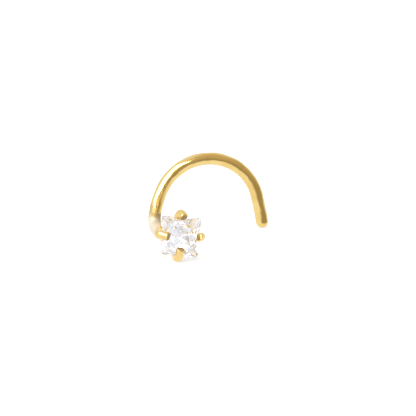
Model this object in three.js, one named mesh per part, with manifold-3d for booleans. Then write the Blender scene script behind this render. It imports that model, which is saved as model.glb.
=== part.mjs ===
// A tragus stud: a four-lobed cut stone held by four wire prongs, on a gold wire that runs back as the
// post, turns at an elbow and curls into an open hook. Millimetres, +Z up. The stud stands by itself on
// its lowest prong, its elbow and the hook's free end, with the stone facing -Y and the hook behind it.
//
// The pieces are first made in the setting's own frame, where the stone's axis is +Z, its girdle lies at
// Z = 0 and the prongs stand near the X and Y axes. The whole stud is then turned to the way it rests.

import * as THREE from "three";
import { mergeVertices } from "three/addons/utils/BufferGeometryUtils.js";
import Module from "manifold-3d";

const wasm = await Module();
wasm.setup();

const degree = Math.PI / 180;

// The wire, from the setting's foot to the hook's free end. Each row feeds a straight length, rolls the
// wire about itself, then bends it by an angle to a radius, all along the middle of the wire.
const wireRadius = 0.4;
const wireStart = { height: -1.4, towards: 82.5 };
const wireBends = [
  { name: "neck", straight: 0.3, roll: 0, radius: 1.6, bend: 20.5 },
  { name: "elbow", straight: 4.34, roll: -10.5, radius: 0.7, bend: 90 },
  { name: "leg", straight: 0, roll: 90, radius: 5.4, bend: 18.8 },
  { name: "arch", straight: 0, roll: 0, radius: 3.33, bend: 139.6 },
  { name: "free end", straight: 0, roll: 0, radius: 15, bend: 7 },
];
const wireSides = 20;
const wireSteps = 124;

// The setting: four round prongs rise outwards from a small foot and bend in over the stone. Each is
// bent by hand a little differently: where it stands, its lengths below and above the bend, its swing.
const prongRadius = 0.275;
const prongStart = { radius: 0.25, height: -1.4 };
const prongRise = 46;
const prongBend = { radius: 0.42, bend: 92 };
const prongEdge = 0.07;
const prongs = [
  { at: 7, leg: 1.49, tip: 0.19, swing: 12 },
  { at: 95, leg: 1.56, tip: 0.19, swing: 12 },
  { at: 180, leg: 1.46, tip: 0.5, swing: -16 },
  { at: 269, leg: 1.49, tip: 0.4, swing: 1 },
];
const prongSides = 14;
const prongSteps = 14;
const foot = [
  { radius: 0.34, height: -1.62 },
  { radius: 0.5, height: -1.46 },
  { radius: 0.5, height: -1.28 },
  { radius: 0.36, height: -1.14 },
];

// The stone. Each quarter of its outline is one lobe, from a notch to the next, and the tiers scale that
// outline from the table down to the pavilion, which ends in a point. It sits a little askew.
const lobe = [
  { name: "notch", x: 1.04, y: 0 },
  { name: "shoulder", x: 1.28, y: 0.62 },
  { name: "tip", x: 1.32, y: 1.2 },
  { name: "tip", x: 1.2, y: 1.32 },
  { name: "shoulder", x: 0.62, y: 1.28 },
];
const stoneTiers = [
  { name: "table", scale: 0.56, height: 0.5 },
  { name: "crown", scale: 0.86, height: 0.3 },
  { name: "girdle top", scale: 1, height: 0.06 },
  { name: "girdle foot", scale: 1, height: -0.08 },
  { name: "pavilion", scale: 0.6, height: -0.52 },
];
const culetHeight = -0.98;
const stoneTurn = 1.5;
const stoneShift = { x: 0, y: -0.06 };
const stoneGap = 0.03;

const gold = new THREE.MeshStandardMaterial({ color: 0xd8a93c, roughness: 0.2, metalness: 1 });
const crystal = new THREE.MeshStandardMaterial({ color: 0xf3f3f8, roughness: 0.05, metalness: 0 });

// A stretch of wire bent to a radius: it leaves its start along a heading and turns towards a side.
class Bend extends THREE.Curve {
  constructor(start, heading, side, radius, angle) {
    super();
    Object.assign(this, { start, heading, side, radius, angle });
  }

  getPoint(t, target = new THREE.Vector3()) {
    const turned = t * this.angle;
    target.copy(this.start);
    target.addScaledVector(this.heading, this.radius * Math.sin(turned));
    return target.addScaledVector(this.side, this.radius * (1 - Math.cos(turned)));
  }
}

// Follows rows of straight, roll, radius and bend, and gives the path that they make.
function bentPath(start, heading, side, rows) {
  const path = new THREE.CurvePath();
  const place = start.clone();
  const ahead = heading.clone();
  const inward = side.clone();
  for (const { straight, roll, radius, bend } of rows) {
    if (straight > 0) {
      const end = place.clone().addScaledVector(ahead, straight);
      path.add(new THREE.LineCurve3(place.clone(), end));
      place.copy(end);
    }
    if (bend > 0) {
      inward.applyAxisAngle(ahead, roll * degree);
      const arc = new Bend(place.clone(), ahead.clone(), inward.clone(), radius, bend * degree);
      path.add(arc);
      arc.getPoint(1, place);
      const hinge = new THREE.Vector3().crossVectors(ahead, inward);
      ahead.applyAxisAngle(hinge, bend * degree);
      inward.applyAxisAngle(hinge, bend * degree);
    }
  }
  return path;
}

// A round bar with its far end rounded over by edge: turned on a lathe, then bent along the path.
function roundBar(path, radius, edge, sides, steps) {
  const length = path.getLength();
  const edgeSteps = 2 + Math.round(edge / 0.1);
  const profile = [new THREE.Vector2(0, 0)];
  for (let i = 0; i <= steps; i++) {
    profile.push(new THREE.Vector2(radius, (length * i) / steps));
  }
  for (let i = 1; i < edgeSteps; i++) {
    const lift = (i / edgeSteps) * 90 * degree;
    profile.push(new THREE.Vector2(radius - edge * (1 - Math.cos(lift)), length + edge * Math.sin(lift)));
  }
  if (edge < radius) profile.push(new THREE.Vector2(radius - edge, length + edge));
  profile.push(new THREE.Vector2(0, length + edge));

  const bar = new THREE.LatheGeometry(profile, sides);
  const frames = path.computeFrenetFrames(steps, false);
  const place = bar.getAttribute("position");
  for (let i = 0; i < place.count; i++) {
    const along = THREE.MathUtils.clamp(place.getY(i) / length, 0, 1);
    const ring = Math.round(along * steps);
    const point = path.getPointAt(along);
    point.addScaledVector(frames.normals[ring], place.getX(i));
    point.addScaledVector(frames.binormals[ring], -place.getZ(i));
    point.addScaledVector(frames.tangents[ring], place.getY(i) - along * length);
    place.setXYZ(i, point.x, point.y, point.z);
  }
  return bar;
}

// A direction at an angle round the stone's axis, tipped up from level by a slope.
function direction(around, slope) {
  const level = new THREE.Vector3(Math.cos(around * degree), Math.sin(around * degree), 0);
  return level.multiplyScalar(Math.cos(slope * degree)).setZ(Math.sin(slope * degree));
}

function wirePath() {
  const start = new THREE.Vector3(0, 0, wireStart.height);
  return bentPath(start, direction(0, -90), direction(wireStart.towards, 0), wireBends);
}

function prongBar({ at, leg, tip, swing }) {
  const start = direction(at, 0).multiplyScalar(prongStart.radius).setZ(prongStart.height);
  const rows = [
    { straight: leg, roll: swing, ...prongBend },
    { straight: tip, roll: 0, radius: 0, bend: 0 },
  ];
  const path = bentPath(start, direction(at, prongRise), direction(at, prongRise + 90), rows);
  return roundBar(path, prongRadius, prongEdge, prongSides, prongSteps);
}

// The small foot that the prongs and the wire are soldered to.
function footTurning() {
  const profile = foot.map(({ radius, height }) => new THREE.Vector2(radius, height));
  profile.unshift(new THREE.Vector2(0, foot[0].height));
  profile.push(new THREE.Vector2(0, foot.at(-1).height));
  return new THREE.LatheGeometry(profile, wireSides).rotateX(90 * degree);
}

// The stone's outline at its girdle, moved outwards by grow.
function stoneOutline(grow) {
  const centre = new THREE.Vector2();
  const corners = [];
  for (let quarter = 0; quarter < 4; quarter++) {
    for (const { x, y } of lobe) {
      const corner = new THREE.Vector2(x, y).rotateAround(centre, quarter * 90 * degree);
      corners.push(corner.setLength(corner.length() + grow));
    }
  }
  return corners;
}

// The cut stone, larger all round by grow. It starts as a lathe with a segment for each side of the
// outline, and each of the lathe's rings is drawn out to the outline's corners.
function cutStone(grow) {
  const corners = stoneOutline(grow);
  const profile = [new THREE.Vector2(0, culetHeight - grow)];
  for (const { scale, height } of [...stoneTiers].reverse()) {
    profile.push(new THREE.Vector2(scale, height + Math.sign(height) * grow));
  }
  profile.push(new THREE.Vector2(0, stoneTiers[0].height + grow));

  const stone = new THREE.LatheGeometry(profile, corners.length);
  const place = stone.getAttribute("position");
  for (let i = 0; i < place.count; i++) {
    const corner = corners[Math.floor(i / profile.length) % corners.length];
    const scale = profile[i % profile.length].x;
    place.setXYZ(i, corner.x * scale, corner.y * scale, place.getY(i));
  }
  return stone.rotateZ(stoneTurn * degree).translate(stoneShift.x, stoneShift.y, 0);
}

// A geometry of positions alone, with shared corners merged and empty triangles left out.
function closedGeometry(geometry) {
  const bare = geometry.clone().deleteAttribute("normal").deleteAttribute("uv");
  const merged = mergeVertices(bare, 1e-5);
  const corners = merged.getIndex().array;
  const kept = [];
  for (let i = 0; i < corners.length; i += 3) {
    const [a, b, c] = corners.slice(i, i + 3);
    if (a !== b && b !== c && c !== a) kept.push(a, b, c);
  }
  return merged.setIndex(kept);
}

function toSolid(geometry) {
  const merged = closedGeometry(geometry);
  const vertProperties = merged.getAttribute("position").array;
  const triVerts = new Uint32Array(merged.getIndex().array);
  return new wasm.Manifold(new wasm.Mesh({ numProp: 3, vertProperties, triVerts }));
}

function toGeometry(solid) {
  const { vertProperties, triVerts } = solid.getMesh();
  const geometry = new THREE.BufferGeometry();
  geometry.setAttribute("position", new THREE.BufferAttribute(vertProperties, 3));
  return geometry.setIndex(new THREE.BufferAttribute(triVerts, 1));
}

// The corners of some geometries that lie within a distance of a point.
function cornersNear(geometries, point, distance) {
  const near = [];
  for (const geometry of geometries) {
    const place = geometry.getAttribute("position");
    for (let i = 0; i < place.count; i++) {
      const corner = new THREE.Vector3().fromBufferAttribute(place, i);
      if (corner.distanceTo(point) < distance) near.push(corner);
    }
  }
  return near;
}

// The turn that stands the stud on three feet, each a set of corners: the floor is the plane that
// touches all three from below. It starts from a rough way up, and settles in a few tries. After it +Z
// is up and the direction across lies along +X.
function standingTurn(feet, roughUp, across) {
  const up = roughUp.clone().normalize();
  for (let i = 0; i < 20; i++) {
    const [a, b, c] = feet.map((corners) => corners.reduce((p, q) => (q.dot(up) < p.dot(up) ? q : p)));
    up.crossVectors(b.clone().sub(a), c.clone().sub(a)).normalize();
    if (up.dot(roughUp) < 0) up.negate();
  }
  const right = across.clone().addScaledVector(up, -across.dot(up)).normalize();
  const back = new THREE.Vector3().crossVectors(up, right);
  return new THREE.Matrix4().makeBasis(right, back, up).transpose();
}

const wire = wirePath();
const wireBar = roundBar(wire, wireRadius, wireRadius, wireSides, wireSteps);
const prongBars = prongs.map(prongBar);
let metal = toSolid(wireBar);
for (const piece of [...prongBars, footTurning()]) metal = metal.add(toSolid(piece));
metal = metal.subtract(toSolid(cutStone(stoneGap)));

const hookAndSetting = new THREE.Mesh(toGeometry(metal), gold);
hookAndSetting.name = "hook_and_setting";
const starStone = new THREE.Mesh(closedGeometry(cutStone(0)), crystal);
starStone.name = "star_stone";
const stud = new THREE.Group();
stud.add(hookAndSetting, starStone);

const elbow = wire.curves[3];
const freeEnd = wire.getPoint(1);
const feet = [
  cornersNear(prongBars, new THREE.Vector3(), 3),
  cornersNear([wireBar], elbow.getPoint(0.5), 1.5),
  cornersNear([wireBar], freeEnd, 1.5),
];
const across = freeEnd.clone().sub(elbow.getPoint(1));
const turn = standingTurn(feet, new THREE.Vector3(0, 0.9, 0.43), across);
for (const { geometry } of stud.children) geometry.applyMatrix4(turn);
const box = new THREE.Box3().setFromObject(stud, true);
const middle = box.getCenter(new THREE.Vector3());
for (const { geometry } of stud.children) geometry.translate(-middle.x, -middle.y, -box.min.z);

export default stud;
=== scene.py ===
# A tragus stud: a lobed cut stone held by round wire prongs, on a polished gold wire that runs back as
# the post, turns at an elbow and curls into an open hook. It stands on its lowest prong, its elbow and
# the hook's free end. Lengths in the tables are millimetres and angles are degrees; meshes are metres.
# Everything is first worked out in the setting's own frame, where the stone's axis is +Z and its girdle
# lies at zero, and is then stood up on its feet.

import bpy
import numpy as np
from mathutils import Matrix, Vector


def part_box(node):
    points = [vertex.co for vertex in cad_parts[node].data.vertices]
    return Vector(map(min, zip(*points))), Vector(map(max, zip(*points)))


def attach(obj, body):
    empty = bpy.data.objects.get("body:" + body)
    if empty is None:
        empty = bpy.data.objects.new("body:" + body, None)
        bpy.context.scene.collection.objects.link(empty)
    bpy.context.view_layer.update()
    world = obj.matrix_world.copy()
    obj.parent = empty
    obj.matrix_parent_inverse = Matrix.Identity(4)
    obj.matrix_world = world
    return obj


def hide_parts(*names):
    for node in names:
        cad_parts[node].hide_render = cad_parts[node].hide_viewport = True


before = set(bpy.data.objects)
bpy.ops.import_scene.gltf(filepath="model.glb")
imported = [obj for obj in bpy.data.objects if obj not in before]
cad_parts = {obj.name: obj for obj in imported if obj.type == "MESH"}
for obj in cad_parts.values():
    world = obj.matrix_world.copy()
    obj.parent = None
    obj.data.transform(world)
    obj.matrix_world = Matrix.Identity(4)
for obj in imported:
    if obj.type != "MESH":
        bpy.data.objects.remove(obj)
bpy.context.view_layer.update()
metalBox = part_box("hook_and_setting")
millimetre, perMetre = 0.001, 1000  # a millimetre in metres, and millimetres to the metre


# Each vector divided by its own length.
def unit(vectors):
    return vectors / np.linalg.norm(vectors, axis=-1, keepdims=True)


# A direction at an angle round the stone's axis, tipped up from level by a slope.
def direction(around, slope):
    a, s = np.radians([around, slope])
    return np.array([np.cos(a) * np.cos(s), np.sin(a) * np.cos(s), np.sin(s)])


# A vector turned about an axis by many angles: what lies along the axis stays, the rest goes round by
# the angle's cosine and sine.
def turned(vector, axis, angles):
    along = (vector @ axis) * axis
    across = vector - along
    c, s = np.cos(angles)[:, None], np.sin(angles)[:, None]
    return along + across * c + np.cross(axis, across) * s


# The middle line of a bent wire. Each row feeds a straight length, rolls the wire, then bends it to a
# radius: a point on a bend is its start, plus the heading times radius times sine, plus the side times
# radius times one less cosine. Gives the points and a side that is carried along without twisting.
def bentLine(start, heading, side, rows, spacing):
    points, carried = [start[None]], [side[None]]
    held = side
    for row in rows:
        if row["straight"] > 0:
            steps = int(np.ceil(row["straight"] / spacing))
            run = np.linspace(0, row["straight"], steps + 1)[1:, None]
            points.append(points[-1][-1] + run * heading)
            carried.append(np.tile(held, (steps, 1)))
        if row["bend"] > 0:
            side = turned(side, heading, np.radians([row["roll"]]))[0]
            angle = np.radians(row["bend"])
            steps = int(np.ceil(row["radius"] * angle / spacing))
            angles = np.linspace(0, angle, steps + 1)[1:]
            ahead = np.sin(angles)[:, None] * row["radius"] * heading
            inward = (1 - np.cos(angles))[:, None] * row["radius"] * side
            points.append(points[-1][-1] + ahead + inward)
            hinge = np.cross(heading, side)
            carried.append(turned(held, hinge, angles))
            held = carried[-1][-1]
            heading, side = (turned(v, hinge, np.array([angle]))[0] for v in (heading, side))
    return np.concatenate(points), np.concatenate(carried)


# Eases a line's bends into its straights: each point becomes the bell-weighted mean of its neighbours,
# and past the ends the line is taken to run straight on. The spread is counted in points.
def eased(points, spread):
    reach = 3 * spread
    weights = np.exp(-0.5 * (np.arange(-reach, reach + 1) / spread) ** 2)
    weights /= weights.sum()
    ahead = np.arange(1, reach + 1)[:, None]
    before = points[0] - ahead[::-1] * (points[1] - points[0])
    after = points[-1] + ahead * (points[-1] - points[-2])
    padded = np.concatenate([before, points, after])
    return np.stack([np.convolve(padded[:, k], weights, mode="valid") for k in range(3)], 1)


# A mesh from places in the setting's frame. Faces may have any number of corners.
def meshPiece(name, places, faces, material, smooth=True):
    mesh = bpy.data.meshes.new(name)
    mesh.from_pydata((stood(places) * millimetre).tolist(), [], faces)
    mesh.materials.append(material)
    mesh.polygons.foreach_set("use_smooth", np.full(len(mesh.polygons), smooth))
    mesh.update()
    piece = bpy.data.objects.new(name, mesh)
    bpy.context.scene.collection.objects.link(piece)
    return piece


# The faces of rings of the same count, closed round and closed at both ends with a middle point each.
def ringFaces(rings, sides):
    i, j = np.meshgrid(np.arange(rings - 1), np.arange(sides), indexing="ij")
    a, b = i * sides + j, i * sides + (j + 1) % sides
    walls = np.stack([a, b, b + sides, a + sides], -1).reshape(-1, 4)
    j = np.arange(sides)
    first, last = rings * sides, rings * sides + 1
    start = np.stack([np.full(sides, first), (j + 1) % sides, j], -1)
    top = (rings - 1) * sides
    end = np.stack([np.full(sides, last), top + j, top + (j + 1) % sides], -1)
    return walls.tolist() + start.tolist() + end.tolist()


# How far a rod's surface stands off its true round: a sum of slow waves, each with a whole number of
# turns round the rod, a length along it, a height and two phases in turns.
def unevenness(around, length, waves):
    total = np.zeros(np.broadcast(around, length).shape)
    for turns, wavelength, height, phaseRound, phaseAlong in waves:
        roundPart = np.cos(turns * around + 2 * np.pi * phaseRound)
        total = total + height * roundPart * np.sin(2 * np.pi * (length / wavelength + phaseAlong))
    return total


# A rod along a line: at each point a ring of the local radius, in the plane across the line, with the
# waves of its unevenness added. The end is carried on by rows of advance and radius. Where faceNormal is
# given, the end face is sheared along the heading until it lies square to that normal, and the rings
# just before it follow by a fading share, within the reach. Where flat is given, a direction and a power,
# the section is a superellipse of that power with a flat side to that direction; a power of 2 leaves it
# round. Also gives each vertex's place on the straightened rod.
def rodPlaces(points, carried, radii, endRows, sides, waves, faceNormal=None, flat=None, reach=0.4):
    heading = unit(np.gradient(points, axis=0))
    across = unit(carried - (carried * heading).sum(1, keepdims=True) * heading)
    length = np.concatenate([[0], np.cumsum(np.linalg.norm(np.diff(points, axis=0), axis=1))])
    wallEnd = length[-1]
    advance, endRadius = np.array(endRows).T
    count = len(advance)
    middle = np.concatenate([points, points[-1] + advance[:, None] * heading[-1]])
    heading = np.concatenate([heading, np.tile(heading[-1], (count, 1))])
    across = np.concatenate([across, np.tile(across[-1], (count, 1))])
    full = np.concatenate([radii, np.full(count, radii[-1])])[:, None]
    radii = np.concatenate([radii, endRadius])[:, None]
    length = np.concatenate([length, wallEnd + advance])[:, None]
    over = np.cross(heading, across)
    around = np.linspace(0, 2 * np.pi, sides, endpoint=False)[None]
    radii = radii + unevenness(around, length, waves) * radii / full
    if flat is not None:
        towards, power = flat
        turnedRound = around - np.arctan2(over[-1] @ towards, across[-1] @ towards)
        fullness = np.abs(np.cos(turnedRound)) ** power + np.abs(np.sin(turnedRound)) ** power
        radii = radii * fullness ** (-1 / power)
    x, y = radii * np.cos(around), radii * np.sin(around)
    wall = middle[:, None] + x[..., None] * across[:, None] + y[..., None] * over[:, None]
    if faceNormal is not None:
        slopes = [-(faceNormal @ v[-1]) / (faceNormal @ heading[-1]) for v in (across, over)]
        share = np.clip(1 - (wallEnd - length) / reach, 0, 1) ** 2
        lean = share * (slopes[0] * x + slopes[1] * y)
        wall = wall + lean[..., None] * heading[:, None]
    places = np.concatenate([wall.reshape(-1, 3), middle[:1], middle[-1:]])
    straight = np.stack([x, y, np.broadcast_to(length, x.shape)], -1).reshape(-1, 3)
    straight = np.concatenate([straight, [[0, 0, 0], [0, 0, length[-1, 0]]]])
    return places, ringFaces(len(middle), sides), straight


faceRings = np.array([0.96, 0.6, 0.25])  # radii of the rings inside a flat end face, as shares of its own


# A quarter round of edge at the end of a rod, then the flat face inside it, if there is one: rows of
# advance and radius, the edge times sine and the radius less the edge times one less cosine. An end that
# is all round stops just short of its pole.
def roundedEnd(radius, edge, steps, atPole=0.004):
    lift = np.linspace(0, np.pi / 2, steps + 1)[1:]
    rows = np.c_[edge * np.sin(lift), radius - edge * (1 - np.cos(lift))]
    if edge < radius:
        return np.concatenate([rows, np.c_[np.full(len(faceRings), edge), (radius - edge) * faceRings]])
    rows[-1] = (edge, atPole * radius)
    return rows


# Keeps where each vertex lies on the straightened rod, in millimetres, and which faces were cut flat.
def keepOnMesh(piece, straight, cutFaces=None):
    layer = piece.data.attributes.new("straightPlace", "FLOAT_VECTOR", "POINT")
    layer.data.foreach_set("vector", straight.astype(np.float32).ravel())
    if cutFaces is not None:
        layer = piece.data.attributes.new("cutFace", "FLOAT", "FACE")
        layer.data.foreach_set("value", cutFaces.astype(np.float32))


wire = {
    "radius": 0.4,
    "start": -1.4,  # height below the girdle where the wire leaves the setting
    "towards": 82.5,  # the side that its first bend turns to
    "bends": [
        {"name": "neck", "straight": 0.3, "roll": 0, "radius": 1.6, "bend": 20.5},
        {"name": "elbow", "straight": 4.34, "roll": -10.5, "radius": 0.7, "bend": 90},
        {"name": "leg", "straight": 0, "roll": 90, "radius": 5.4, "bend": 18.8},
        {"name": "arch", "straight": 0, "roll": 0, "radius": 3.33, "bend": 139.6},
        {"name": "free end", "straight": 0, "roll": 0, "radius": 15, "bend": 7},
    ],
    "flare": (0.1, 0.16),  # solder round its start, and how soon it fades
    # its unevenness: turns round the wire, length, height, and phases round it and along it
    "waves": [(3, 2.1, 0.009, 0.1, 0.2), (2, 1.3, 0.005, 0.6, 0.7), (5, 0.8, 0.0018, 0.3, 0.1),
              (7, 0.47, 0.0009, 0.8, 0.4), (1, 0.6, 0.0016, 0.2, 0.9)],
    "spacing": 0.03,
    "easing": 3,
    "sides": 96,
    "endSteps": 16,
}


# The wire's middle line, from below the setting to the hook's free end.
def wireLine():
    start = np.array([0, 0, wire["start"]], float)
    points, carried = bentLine(
        start, direction(0, -90), direction(wire["towards"], 0), wire["bends"], wire["spacing"]
    )
    return eased(points, wire["easing"]), carried


prong = {
    "radius": 0.275,
    "startRadius": 0.25,  # how far from the stone's axis it starts
    "startHeight": -1.4,
    "rise": 46,
    "bendRadius": 0.42,
    "bend": 92,
    "flare": (0.07, 0.14),
    "waves": [(2, 1.1, 0.004, 0.4, 0.3), (3, 0.7, 0.0025, 0.9, 0.6), (5, 0.4, 0.001, 0.2, 0.2)],
    "waveShift": 37,  # degrees of a prong's place for each turn that its waves are shifted round it
    "spacing": 0.03,
    "sides": 64,
    "endSteps": 6,
    "plainEdge": 0.07,  # the edge that the solid prongs have, for working out how the stud stands
    # leg and tip are the straight lengths before and after the bend, and edge rounds the cut end; face is
    # the normal of that end, flat the side that is filed flatter, and power how flat it is
    "each": [
        {"name": "prongRight", "at": 7, "leg": 1.49, "tip": 0.1, "swing": 12, "edge": 0.09,
         "face": (-0.9, -0.05, 0.43), "flat": (0.3, 0.2, 0.9), "power": 2.0},
        {"name": "prongTop", "at": 95, "leg": 1.56, "tip": 0.19, "swing": 12, "edge": 0.05,
         "face": (0.3, -0.75, 0.6), "flat": (-0.5, 0, 0.9), "power": 2.0},
        {"name": "prongLeft", "at": 180, "leg": 1.46, "tip": 0.44, "swing": -16, "edge": 0.045,
         "face": None, "flat": (-0.64, -0.44, 0.63), "power": 2.4},
        {"name": "prongBottom", "at": 269, "leg": 1.49, "tip": 0.4, "swing": 1, "edge": 0.045,
         "face": None, "flat": (-0.2, -0.6, 0.75), "power": 2.4},
    ],
}


# One prong's middle line: up and outwards from the foot, then bent in over the stone.
def prongLine(one):
    start = direction(one["at"], 0) * prong["startRadius"] + [0, 0, prong["startHeight"]]
    rows = [
        {"straight": one["leg"], "roll": one["swing"], "radius": prong["bendRadius"], "bend": prong["bend"]},
        {"straight": one["tip"], "bend": 0},
    ]
    heading, side = (direction(one["at"], prong["rise"] + slope) for slope in (0, 90))
    return bentLine(start, heading, side, rows, prong["spacing"])


# The local radius of a rod: its own, and the solder round its start, which fades by the exponential.
def flared(points, radius, flare):
    length = np.concatenate([[0], np.cumsum(np.linalg.norm(np.diff(points, axis=0), axis=1))])
    height, fade = flare
    return radius + height * np.exp(-((length / fade) ** 2))


# The floor is the plane that touches three feet from below, each foot a set of points: it starts from a
# rough way up, and settles as each try takes each foot's lowest point and stands square to the three.
# Rows of the turn are right, back and up.
def standingTurn(feet, roughUp, across, tries=20):
    up = unit(roughUp)
    for _ in range(tries):
        a, b, c = (f[np.argmin(f @ up)] for f in feet)
        up = unit(np.cross(b - a, c - a))
        up = up * np.sign(up @ roughUp)
    right = unit(across - (across @ up) * up)
    return np.stack([right, np.cross(up, right), up])


# The rods twice: plain, to work out how the stud stands, and then with their uneven surface.
def rodParts(uneven):
    points, carried = wireLine()
    radii = flared(points, wire["radius"], wire["flare"])
    rows = roundedEnd(wire["radius"], wire["radius"], wire["endSteps"])
    waves = wire["waves"] if uneven else []
    wirePart = rodPlaces(points, carried, radii, rows, wire["sides"], waves)
    parts = []
    for one in prong["each"]:
        line, side = prongLine(one)
        radii = flared(line, prong["radius"], prong["flare"])
        edge = one["edge"] if uneven else prong["plainEdge"]
        rows = roundedEnd(prong["radius"], edge, prong["endSteps"])
        shift = one["at"] / prong["waveShift"]
        waves = [(*w[:3], w[3] + shift, w[4]) for w in prong["waves"]] if uneven else []
        face = unit(np.array(one["face"])) if uneven and one["face"] else None
        flat = (np.array(one["flat"]), one["power"]) if uneven else None
        parts.append(rodPlaces(line, side, radii, rows, prong["sides"], waves, face, flat))
    return points, wirePart, parts


stance = {  # how the stud stands
    "roughUp": (0, 0.9, 0.43),
    "footReach": 1.5,  # how far from the elbow's middle, or from the free end, the wire may touch the floor
}
wirePoints, (wirePlaces, _, _), prongParts = rodParts(False)
prongPlaces = np.concatenate([p[0] for p in prongParts])
lineLength = np.linalg.norm(np.diff(wirePoints, axis=0), axis=1).sum()
bendLengths = [np.radians(r["bend"]) * r["radius"] for r in wire["bends"]]
elbowAt = wire["bends"][0]["straight"] + bendLengths[0] + wire["bends"][1]["straight"] + bendLengths[1] / 2
elbowPoint = wirePoints[int(elbowAt / lineLength * len(wirePoints))]
elbowEnd = wirePoints[int((elbowAt + bendLengths[1] / 2) / lineLength * len(wirePoints))]
freeEnd = wirePoints[-1]
feet = [prongPlaces]
for point in (elbowPoint, freeEnd):
    feet.append(wirePlaces[np.linalg.norm(wirePlaces - point, axis=1) < stance["footReach"]])
standing = standingTurn(feet, np.array(stance["roughUp"]), freeEnd - elbowEnd)
turnedMetal = np.concatenate([wirePlaces, prongPlaces]) @ standing.T
low, high = turnedMetal.min(0), turnedMetal.max(0)
cadLow, cadHigh = (np.array(corner) * perMetre for corner in metalBox)
standingShift = np.array([*((cadLow + cadHigh) / 2 - (low + high) / 2)[:2], cadLow[2] - low[2]])
print("stood up, off the solid's box by", np.round(high + standingShift - cadHigh, 4))


# From the setting's frame to where the stud stands.
def stood(places):
    return places @ standing.T + standingShift


# Adds a node to a tree. An input is given a plain value, or another node's output to read.
def addNode(tree, kind, settings=None, inputs=None):
    node = tree.nodes.new("ShaderNode" + kind)
    for key, value in (settings or {}).items():
        setattr(node, key, value)
    for key, value in (inputs or {}).items():
        if isinstance(value, bpy.types.NodeSocket):
            tree.links.new(value, node.inputs[key])
        else:
            node.inputs[key].default_value = value
    return node


# A value taken from one range to another, and held at both ends: eased there, unless kind says otherwise.
def eased01(tree, value, fromLow, fromHigh, toLow=0.0, toHigh=1.0, kind="SMOOTHSTEP"):
    ranges = {"Value": value, "From Min": fromLow, "From Max": fromHigh, "To Min": toLow, "To Max": toHigh}
    return addNode(tree, "MapRange", {"interpolation_type": kind}, ranges).outputs["Result"]


# The sum, difference, product or greater of two values.
def mathOf(tree, operation, first, second):
    return addNode(tree, "Math", {"operation": operation}, {0: first, 1: second}).outputs[0]


# The first colour where the share is nought and the second where it is one, in line between. Each is
# plain or another node's output; inputs 6 and 7 are the node's pair for colours, and output 2 theirs.
def mixColour(tree, share, first, second):
    mix = addNode(tree, "Mix", {"data_type": "RGBA"}, {"Factor": share})
    for key, value in ((6, first), (7, second)):
        if isinstance(value, bpy.types.NodeSocket):
            tree.links.new(value, mix.inputs[key])
        else:
            mix.inputs[key].default_value = (*value, 1)
    return mix.outputs[2]


goldLook = {
    "bright": (0.915, 0.665, 0.255),
    "deep": (0.87, 0.6, 0.2),
    "pale": (0.73, 0.65, 0.52),  # paler and duller round the elbow
    "ragged": 2.4,  # how far the edges of the patches wander along the wire
    "paleFrom": (2.4, 4.6),  # lengths along the wire between which the pale patch comes in, and goes out
    "paleTo": (6.15, 6.4),
    "dullTo": (6.7, 7.2),  # the dullness goes out a little later
    "paintedReflection": (0.53, 0.41, 0.2),  # painted reflection: browner between the pale patch and the bright gold, for the dark room the gold mirrors there
    "paintedReflectionFrom": (5.5, 6.6),
    "paintedReflectionTo": (6.8, 7.1),
    "solder": (0.9, 0.8, 0.6),
    "solderTo": (0.35, 0.8),  # lengths along each rod between which the solder gives way to gold
    # colour of the cut ends: a darker brown as painted shade; their rougher finish is cutRough
    "cut": (0.5, 0.36, 0.18),
    "smooth": 0.11,  # roughness of the gold, from its smooth patches to its dull ones
    "dull": 0.21,
    "cutRough": 0.36,
    "paleRough": 0.75,
    "patches": 1.3,  # patches, drawn lines and grain to the millimetre
    "lines": (11, 11, 0.7),
    "grain": 8.0,
    "colourEdges": (0.35, 0.65),  # levels of the patches between which the colour changes, and the polish
    "polishEdges": (0.3, 0.7),
    "lineShare": 0.5,  # height of the drawn lines beside the grain's
    "relief": 0.000003,  # height of the grain, in metres
}
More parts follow.
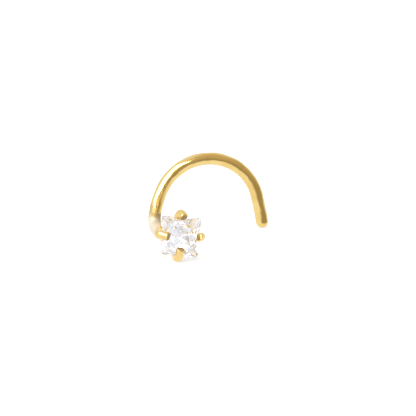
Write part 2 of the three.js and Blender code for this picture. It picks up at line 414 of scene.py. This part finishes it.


# Polished gold. On the straightened rod, slow patches vary the colour and the polish, fine drawn lines
# run along it, and a fine grain lies over both. The elbow is paler and dull, and a browner stretch after
# it is a painted reflection of the dark room the gold mirrors there; the patches make their edges ragged.
# Solder tints the rod's start, and cut ends are rougher, with their colour darkened as painted shade.
def goldFinish():
    material = bpy.data.materials.new("polished gold")
    material.use_nodes = True
    tree = material.node_tree
    look = goldLook
    place = addNode(tree, "Attribute", {"attribute_name": "straightPlace"}).outputs["Vector"]
    cut = addNode(tree, "Attribute", {"attribute_name": "cutFace"}).outputs["Fac"]
    along = addNode(tree, "SeparateXYZ", None, {0: place}).outputs["Z"]
    patches = addNode(tree, "TexNoise", None, {"Vector": place, "Scale": look["patches"], "Detail": 3.0})
    stretched = addNode(tree, "Mapping", None, {"Vector": place, "Scale": look["lines"]}).outputs[0]
    lines = addNode(tree, "TexNoise", None, {"Vector": stretched, "Scale": 1.0, "Detail": 2.0})
    grain = addNode(tree, "TexNoise", None, {"Vector": place, "Scale": look["grain"], "Detail": 2.0})
    patch = eased01(tree, patches.outputs[0], *look["colourEdges"])
    wander = mathOf(tree, "MULTIPLY", mathOf(tree, "SUBTRACT", patches.outputs[0], 0.5), look["ragged"])
    ragged = mathOf(tree, "ADD", along, wander)
    comesIn = eased01(tree, ragged, *look["paleFrom"])
    pale = mathOf(tree, "MULTIPLY", comesIn, eased01(tree, ragged, *look["paleTo"], 1.0, 0.0))
    dull = mathOf(tree, "MULTIPLY", comesIn, eased01(tree, ragged, *look["dullTo"], 1.0, 0.0))
    colour = mixColour(tree, patch, look["bright"], look["deep"])
    colour = mixColour(tree, pale, colour, look["pale"])
    # painted reflection: a browner stretch after the pale patch stands in for the dark room that the gold
    # mirrors there
    paintedReflectionGoes = eased01(tree, ragged, *look["paintedReflectionTo"], 1.0, 0.0)
    paintedReflectionShare = mathOf(tree, "MULTIPLY", eased01(tree, ragged, *look["paintedReflectionFrom"]), paintedReflectionGoes)
    colour = mixColour(tree, paintedReflectionShare, colour, look["paintedReflection"])
    colour = mixColour(tree, eased01(tree, along, *look["solderTo"]), look["solder"], colour)
    # cut ends: their colour darkened as painted shade
    colour = mixColour(tree, cut, colour, look["cut"])
    rough = eased01(tree, patches.outputs[0], *look["polishEdges"], look["smooth"], look["dull"])
    rough = mathOf(tree, "MAXIMUM", rough, mathOf(tree, "MULTIPLY", dull, look["paleRough"]))
    rough = mathOf(tree, "MAXIMUM", rough, mathOf(tree, "MULTIPLY", cut, look["cutRough"]))
    drawn = mathOf(tree, "MULTIPLY", lines.outputs[0], look["lineShare"])
    height = mathOf(tree, "ADD", drawn, grain.outputs[0])
    bump = addNode(tree, "Bump", None, {"Height": height, "Strength": 1.0, "Distance": look["relief"]})
    shader = tree.nodes["Principled BSDF"]
    shader.inputs["Metallic"].default_value = 1
    tree.links.new(colour, shader.inputs["Base Color"])
    tree.links.new(rough, shader.inputs["Roughness"])
    tree.links.new(bump.outputs[0], shader.inputs["Normal"])
    return material


stone = {
    # half of one lobe's outline at the girdle, from the notch to the tip; the other half mirrors it
    "outline": [(1.05, 0), (1.19, 0.33), (1.29, 0.68), (1.33, 1.02), (1.31, 1.31)],
    # how far each tip reaches: upper right, upper left, lower left, lower right
    "tips": [1.04, 0.96, 0.93, 0.92],
    "tipFade": 2.5,  # corners beside a tip within which its reach fades
    "girdle": (0.05, -0.05),
    "table": (0.55, 0.8, 0.5),  # radius at the notches, at the tips, and height
    "crown": (0.92, 0.37),  # radius and height of the corners between the crown's two rows of facets
    "bevel": (0.05, 0.05),  # the narrow facets along the girdle: how far in and how far up, or down
    "pavilion": (0.7, -0.55),  # radius and height of the corners between the pavilion's two rows
    "culet": -1.1,
    "turn": 1.5,
    "shift": (0, -0.06),
    "gap": 0.03,  # between the stone and its seats in the prongs
    "gapInside": 0.6,  # share of the gap by which the inner corners move out
    # tints of the facets, and of the bevels and girdle, drawn from a seed: painted fire, faint violet and
    # yellow that stand in for the coloured light the cut spreads
    "tints": [(0.993, 0.996, 1.0), (0.98, 0.98, 1.0), (1.0, 0.998, 0.99), (0.988, 0.993, 1.0)],
    "rimFireTints": [(0.95, 0.94, 1.0), (0.99, 0.98, 0.92), (0.96, 0.955, 0.96), (0.99, 0.995, 1.0)],
    "seed": 7,
    "glare": (0.18, 0.18, 0.18),  # tint of what its faces mirror
    "clear": 0.991,  # the rest is a little milky
    "index": 2.0,  # of refraction
    "haze": 0.14,  # roughness, for the soft look of very small facets
}


# Clear crystal. Each facet has its own faint tint, violet, yellow or almost none: painted fire, which
# stands in for the coloured light that the cut spreads.
def stoneFinish():
    material = bpy.data.materials.new("clear crystal")
    material.use_nodes = True
    tree = material.node_tree
    tint = addNode(tree, "Attribute", {"attribute_name": "paintedFireTint"}).outputs["Color"]
    shader = tree.nodes["Principled BSDF"]
    tree.links.new(tint, shader.inputs["Base Color"])
    shader.inputs["Roughness"].default_value = stone["haze"]
    shader.inputs["Specular Tint"].default_value = (*stone["glare"], 1)
    shader.inputs["IOR"].default_value = stone["index"]
    shader.inputs["Transmission Weight"].default_value = stone["clear"]
    return material


gold = goldFinish()
crystal = stoneFinish()

_, wirePart, prongParts = rodParts(True)
wirePiece = meshPiece("wireHook", wirePart[0], wirePart[1], gold)
keepOnMesh(wirePiece, wirePart[2])
print("wire built")

corners = 8  # of the stone's table, and of each ring inside its outline


# The stone's outline at the girdle, moved outwards by grow: the half lobe, its mirror image, and the
# four lobes turned by quarters. Each tip is drawn in or out by its own reach, less so beside it.
def stoneOutline(grow):
    half = np.array(stone["outline"])
    lobe = np.concatenate([half, half[-2:0:-1, ::-1]])
    nearTip = np.maximum(0, 1 - np.abs(np.arange(len(lobe)) - len(half) + 1) / stone["tipFade"])
    quarters = []
    for quarter, reach in enumerate(stone["tips"]):
        c, s = np.cos(quarter * np.pi / 2), np.sin(quarter * np.pi / 2)
        reached = lobe * (1 + (reach - 1) * nearTip[:, None])
        quarters.append(reached @ np.array([[c, s], [-s, c]]))
    outline = np.concatenate(quarters)
    return outline * (1 + grow / np.linalg.norm(outline, axis=1, keepdims=True))


# Corners at even angles from a first one, at radii and a height.
def cornerRing(first, radii, height):
    a = np.radians(first + np.arange(corners) * 360 / corners)
    return np.c_[radii * np.cos(a), radii * np.sin(a), np.full(corners, height)]


# The stone from table to culet: eight table corners, eight between the two rows of the crown, the bevel's
# inner line, the girdle's outline twice, the lower bevel's line, eight in the pavilion, and the culet.
# Those between rows stand half a step round from the table's.
def stonePlaces(grow):
    between, inside = 180 / corners, grow * stone["gapInside"]
    outline = stoneOutline(grow)
    inner = outline * (1 - stone["bevel"][0] / np.linalg.norm(outline, axis=1, keepdims=True))
    upper, lower = stone["girdle"]
    notch, tip, height = stone["table"]
    tableRadii = np.tile([notch, tip], corners // 2) + inside
    rings = [
        cornerRing(0, tableRadii, height + grow),
        cornerRing(between, stone["crown"][0] + inside, stone["crown"][1] + grow),
        np.c_[inner, np.full(len(inner), upper + stone["bevel"][1] + grow)],
        np.c_[outline, np.full(len(outline), upper + grow)],
        np.c_[outline, np.full(len(outline), lower - grow)],
        np.c_[inner, np.full(len(inner), lower - stone["bevel"][1] - grow)],
        cornerRing(between, stone["pavilion"][0] + inside, stone["pavilion"][1] - grow),
        [[0, 0, stone["culet"] - grow]],
    ]
    places = np.concatenate(rings)
    a = np.radians(stone["turn"])
    turn = np.array([[np.cos(a), -np.sin(a), 0], [np.sin(a), np.cos(a), 0], [0, 0, 1]])
    return places @ turn.T + [*stone["shift"], 0]


# The facets, by corner numbers: the bevels and the girdle first, then the table, star facets, kites, upper
# halves, lower halves and mains. A kite or a main is two triangles, and each octant of the outline fans
# from one corner of the ring inside it.
def stoneFaces():
    each = len(stone["outline"]) - 1  # sides of the outline in an octant
    count = each * corners
    table, crown, top = 0, corners, 2 * corners
    rim, bottom = top + np.arange(4) * count, top + 3 * count
    pavilion, culet = bottom + count, bottom + count + corners
    k = np.arange(corners)
    following, before = (k + 1) % corners, (k - 1) % corners
    g = np.arange(count)
    after = (g + 1) % count
    octant = g // each
    rims = [np.stack([low + g, high + g, high + after, low + after], -1) for low, high in zip(rim, rim[1:])]
    rows = [
        np.stack([table + k, crown + k, table + following], -1),
        np.stack([table + k, crown + before, crown + k], -1),
        np.stack([crown + before, top + k * each, crown + k], -1),
        np.stack([crown + octant, top + g, top + after], -1),
        np.stack([pavilion + octant, bottom + after, bottom + g], -1),
        np.stack([pavilion + k, bottom + k * each, pavilion + before], -1),
        np.stack([pavilion + before, np.full(corners, culet), pavilion + k], -1),
    ]
    return np.concatenate(rims).tolist() + [list(range(corners))] + np.concatenate(rows).tolist()


# The stone as a mesh of flat facets, with a tint of painted fire for each.
def cutStone(name, grow, material):
    piece = meshPiece(name, stonePlaces(grow), stoneFaces(), material, smooth=False)
    draw = np.random.default_rng(stone["seed"])
    tints = np.array(stone["tints"])[draw.integers(0, len(stone["tints"]), len(piece.data.polygons))]
    rims = len(stoneOutline(0)) * 3  # the two bevels' facets and the girdle's
    tints[:rims] = np.array(stone["rimFireTints"])[draw.integers(0, len(stone["rimFireTints"]), rims)]
    layer = piece.data.attributes.new("paintedFireTint", "FLOAT_COLOR", "FACE")
    layer.data.foreach_set("color", np.c_[tints, np.ones(len(tints))].astype(np.float32).ravel())
    return piece


# For each place, the row of the nearest of some other places: the least of the squared distances, which
# are the two squared lengths less twice the dot product.
def nearestRow(places, others):
    squares = (places**2).sum(1)[:, None] + (others**2).sum(1)[None] - 2 * places @ others.T
    return squares.argmin(1)


# Cuts one piece by another and leaves the outcome as plain mesh, with edges kept sharp past an angle.
def cutBy(piece, cutter, sharpAngle=35):
    modifier = piece.modifiers.new("cut", "BOOLEAN")
    modifier.operation = "DIFFERENCE"
    modifier.solver = "EXACT"
    modifier.object = cutter
    depsgraph = bpy.context.evaluated_depsgraph_get()
    outcome = bpy.data.meshes.new_from_object(piece.evaluated_get(depsgraph))
    piece.modifiers.clear()
    piece.data = outcome
    piece.data.set_sharp_from_angle(angle=np.radians(sharpAngle))


# Each prong is cut by the stone grown by its gap. The cut loses the vertices' places on the straightened
# rod, so each vertex that is left takes the place of the nearest one before the cut.
seatCutter = cutStone("seatCutter", stone["gap"], gold)
sides = prong["sides"]
prongPieces = []
for one, (places, faces, straight) in zip(prong["each"], prongParts):
    piece = meshPiece(one["name"], places, faces, gold)
    cutFaces = np.zeros(len(faces))
    cutFaces[-4 * sides:] = 1  # two rows on the end face, then the closed start, and the end's middle
    cutFaces[-2 * sides:-sides] = 0  # the closed start isn't a cut face
    keepOnMesh(piece, straight, cutFaces)
    cutBy(piece, seatCutter)
    leftPlaces = np.empty(len(piece.data.vertices) * 3)
    piece.data.vertices.foreach_get("co", leftPlaces)
    nearest = nearestRow(leftPlaces.reshape(-1, 3) * perMetre, stood(places))
    piece.data.attributes.remove(piece.data.attributes["straightPlace"])
    keepOnMesh(piece, straight[nearest])
    prongPieces.append(piece)
bpy.data.objects.remove(seatCutter)
print("prongs built")

foot = {
    "middle": -1.38,  # height of its waist below the girdle
    "radius": 0.5,
    "half": 0.24,
    "fullness": 0.45,  # towards nought it is a drum, towards one a ball
    "sides": 96,
    "rows": 40,
}


# The foot is a soft bead: radius by a power of the cosine, height by a power of the sine.
def footSurface():
    lift = np.linspace(-np.pi / 2, np.pi / 2, foot["rows"] + 2)[1:-1, None]
    around = np.linspace(0, 2 * np.pi, foot["sides"], endpoint=False)[None]
    radius = foot["radius"] * np.cos(lift) ** foot["fullness"]
    height = foot["middle"] + foot["half"] * np.sign(np.sin(lift)) * np.abs(np.sin(lift)) ** foot["fullness"]
    wall = np.broadcast_arrays(radius * np.cos(around), radius * np.sin(around), height)
    poles = [[0, 0, foot["middle"] - foot["half"]], [0, 0, foot["middle"] + foot["half"]]]
    return np.concatenate([np.stack(wall, -1).reshape(-1, 3), poles])


footPlaces = footSurface()
footPiece = meshPiece("solderedFoot", footPlaces, ringFaces(foot["rows"], foot["sides"]), gold)
keepOnMesh(footPiece, footPlaces)
stonePiece = cutStone("starStone", 0, crystal)
print("stone built")

for piece in [wirePiece, footPiece, *prongPieces]:
    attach(piece, "root")
    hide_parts("hook_and_setting")
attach(stonePiece, "root")
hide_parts("star_stone")

# Where the camera stands, turned round the vertical and up from level, and what it sees.
camera = {
    "azimuth": -12.09,
    "elevation": 15.17,
    "roll": 1.55,
    "distance": 1.0,  # metres
    "sensor": 36,
    "clip": (0.01, 20),
    "view": 26.67,  # width of the view at the setting
    "right": 1.795,  # from the girdle's centre to the middle of the view
    "up": 1.808,
}
studio = {
    # the floor shines a little of itself, so its shadows are faint; sizes here are metres
    "floor": {"half": 3.0, "shade": 0.35, "glow": 0.65, "rough": 0.9, "gloss": 0.1},
    "window": {"azimuth": -58, "elevation": 35.5, "distance": 0.5, "width": 0.6, "height": 0.52},
    "power": 4.1,
    # the room as the gold mirrors it: bright below, a little less above, and dark in front on the right
    "below": (1.03, 1.07, 1.14),
    "above": (0.91, 0.94, 1.01),
    "aboveFrom": (-0.2, -0.05),  # heights of the look between which it goes from below to above
    "dark": {"azimuth": 38, "elevation": 33, "angle": 62, "softness": 15},
    "darkLow": (0.37, 0.33, 0.25),
    "darkHigh": (0.64, 0.57, 0.45),
    "darkSpan": (-0.1, 0.9),  # heights between which the dark part goes from its low shade to its high one
    "darkFoot": (-0.53, -0.12),  # heights between which the dark part comes in
    # the room as the stone gathers it: bright, with a few grey places and small dark ones
    "gathered": {"scale": 2.4, "edges": (0.36, 0.52)},
    "gatheredGrey": (0.88, 0.91, 1.03),
    "gatheredBright": (1.0, 1.03, 1.12),
    "specks": {"scale": 9.0, "edges": (0.64, 0.67), "shade": (0.48, 0.47, 0.56)},
}


# Unit vectors right, up and back of something that looks at the origin from an azimuth and elevation.
def lookFrom(azimuth, elevation, roll=0):
    a, e, r = np.radians([azimuth, elevation, roll])
    back = np.array([np.sin(a) * np.cos(e), -np.cos(a) * np.cos(e), np.sin(e)])
    right = np.array([np.cos(a), np.sin(a), 0])
    up = np.cross(back, right)
    return right * np.cos(r) + up * np.sin(r), up * np.cos(r) - right * np.sin(r), back


# Puts a light or the camera at a place in metres, turned to its own right, up and back.
def placed(name, data, right, up, back, place):
    thing = bpy.data.objects.new(name, data)
    bpy.context.scene.collection.objects.link(thing)
    turn = np.eye(4)
    turn[:3, 0], turn[:3, 1], turn[:3, 2], turn[:3, 3] = right, up, back, place
    thing.matrix_world = Matrix(turn.tolist())
    return thing


right, up, back = lookFrom(camera["azimuth"], camera["elevation"], camera["roll"])
girdleMiddle = stood(np.zeros(3)) * millimetre
aim = girdleMiddle + (camera["right"] * right + camera["up"] * up) * millimetre
lens = bpy.data.cameras.new("studioCamera")
lens.sensor_width = camera["sensor"]
lens.lens = camera["sensor"] * camera["distance"] * perMetre / camera["view"]
lens.clip_start, lens.clip_end = camera["clip"]
cameraPiece = placed("studioCamera", lens, right, up, back, aim + back * camera["distance"])
bpy.context.scene.camera = cameraPiece

window = studio["window"]
right, up, back = lookFrom(window["azimuth"], window["elevation"])
light = bpy.data.lights.new("window", "AREA")
light.shape = "RECTANGLE"
light.size, light.size_y = window["width"], window["height"]
light.energy = studio["power"]
windowPiece = placed("window", light, right, up, back, back * window["distance"])
windowPiece.visible_camera = False

floor = studio["floor"]
half = floor["half"]
floorMesh = bpy.data.meshes.new("floor")
floorCorners = [(-half, -half, 0), (half, -half, 0), (half, half, 0), (-half, half, 0)]
floorMesh.from_pydata(floorCorners, [], [(0, 1, 2, 3)])
floorPiece = bpy.data.objects.new("floor", floorMesh)
bpy.context.scene.collection.objects.link(floorPiece)
floorMaterial = bpy.data.materials.new("pale floor")
floorMaterial.use_nodes = True
floorShader = floorMaterial.node_tree.nodes["Principled BSDF"]
floorShader.inputs["Base Color"].default_value = (floor["shade"], floor["shade"], floor["shade"], 1)
floorShader.inputs["Roughness"].default_value = floor["rough"]
floorShader.inputs["Specular IOR Level"].default_value = floor["gloss"]
floorShader.inputs["Emission Color"].default_value = (1, 1, 1, 1)
floorShader.inputs["Emission Strength"].default_value = floor["glow"]
floorMesh.materials.append(floorMaterial)
floorPiece.visible_glossy = False
floorPiece.visible_transmission = False


# The room: plain white to the camera and for soft light, the mirrored room for gloss, and the gathered
# room for what comes through the stone.
def studioRoom():
    world = bpy.data.worlds.new("studio")
    world.use_nodes = True
    tree = world.node_tree
    tree.nodes.clear()
    way = addNode(tree, "TexCoord").outputs["Generated"]
    height = addNode(tree, "SeparateXYZ", None, {0: way}).outputs["Z"]
    dark = studio["dark"]
    towards = lookFrom(dark["azimuth"], dark["elevation"])[2].tolist()
    facing = addNode(tree, "VectorMath", {"operation": "DOT_PRODUCT"}, {0: way, 1: towards}).outputs["Value"]
    edges = np.cos(np.radians([dark["angle"] + dark["softness"], dark["angle"] - dark["softness"]]))
    mask = mathOf(tree, "MULTIPLY", eased01(tree, facing, *edges), eased01(tree, height, *studio["darkFoot"]))
    plain = mixColour(tree, eased01(tree, height, *studio["aboveFrom"]), studio["below"], studio["above"])
    rise = eased01(tree, height, *studio["darkSpan"], kind="LINEAR")
    shade = mixColour(tree, rise, studio["darkLow"], studio["darkHigh"])
    mirrored = mixColour(tree, mask, plain, shade)
    gathered, specks = studio["gathered"], studio["specks"]
    noise = addNode(tree, "TexNoise", None, {"Vector": way, "Scale": gathered["scale"], "Detail": 2.0})
    spots = eased01(tree, noise.outputs[0], *gathered["edges"])
    through = mixColour(tree, spots, studio["gatheredGrey"], studio["gatheredBright"])
    noise = addNode(tree, "TexNoise", None, {"Vector": way, "Scale": specks["scale"], "Detail": 0.0})
    through = mixColour(tree, eased01(tree, noise.outputs[0], *specks["edges"]), through, specks["shade"])
    rays = addNode(tree, "LightPath")
    seen = mixColour(tree, rays.outputs["Is Glossy Ray"], (1, 1, 1), mirrored)
    seen = mixColour(tree, rays.outputs["Is Transmission Ray"], seen, through)
    background = addNode(tree, "Background", None, {"Color": seen})
    output = addNode(tree, "OutputWorld")
    tree.links.new(background.outputs[0], output.inputs["Surface"])
    return world


scene = bpy.context.scene
scene.world = studioRoom()
scene.cycles.max_bounces = 24
scene.cycles.glossy_bounces = 16
scene.cycles.transmission_bounces = 16
scene.view_settings.view_transform = "Standard"
print("studio set")
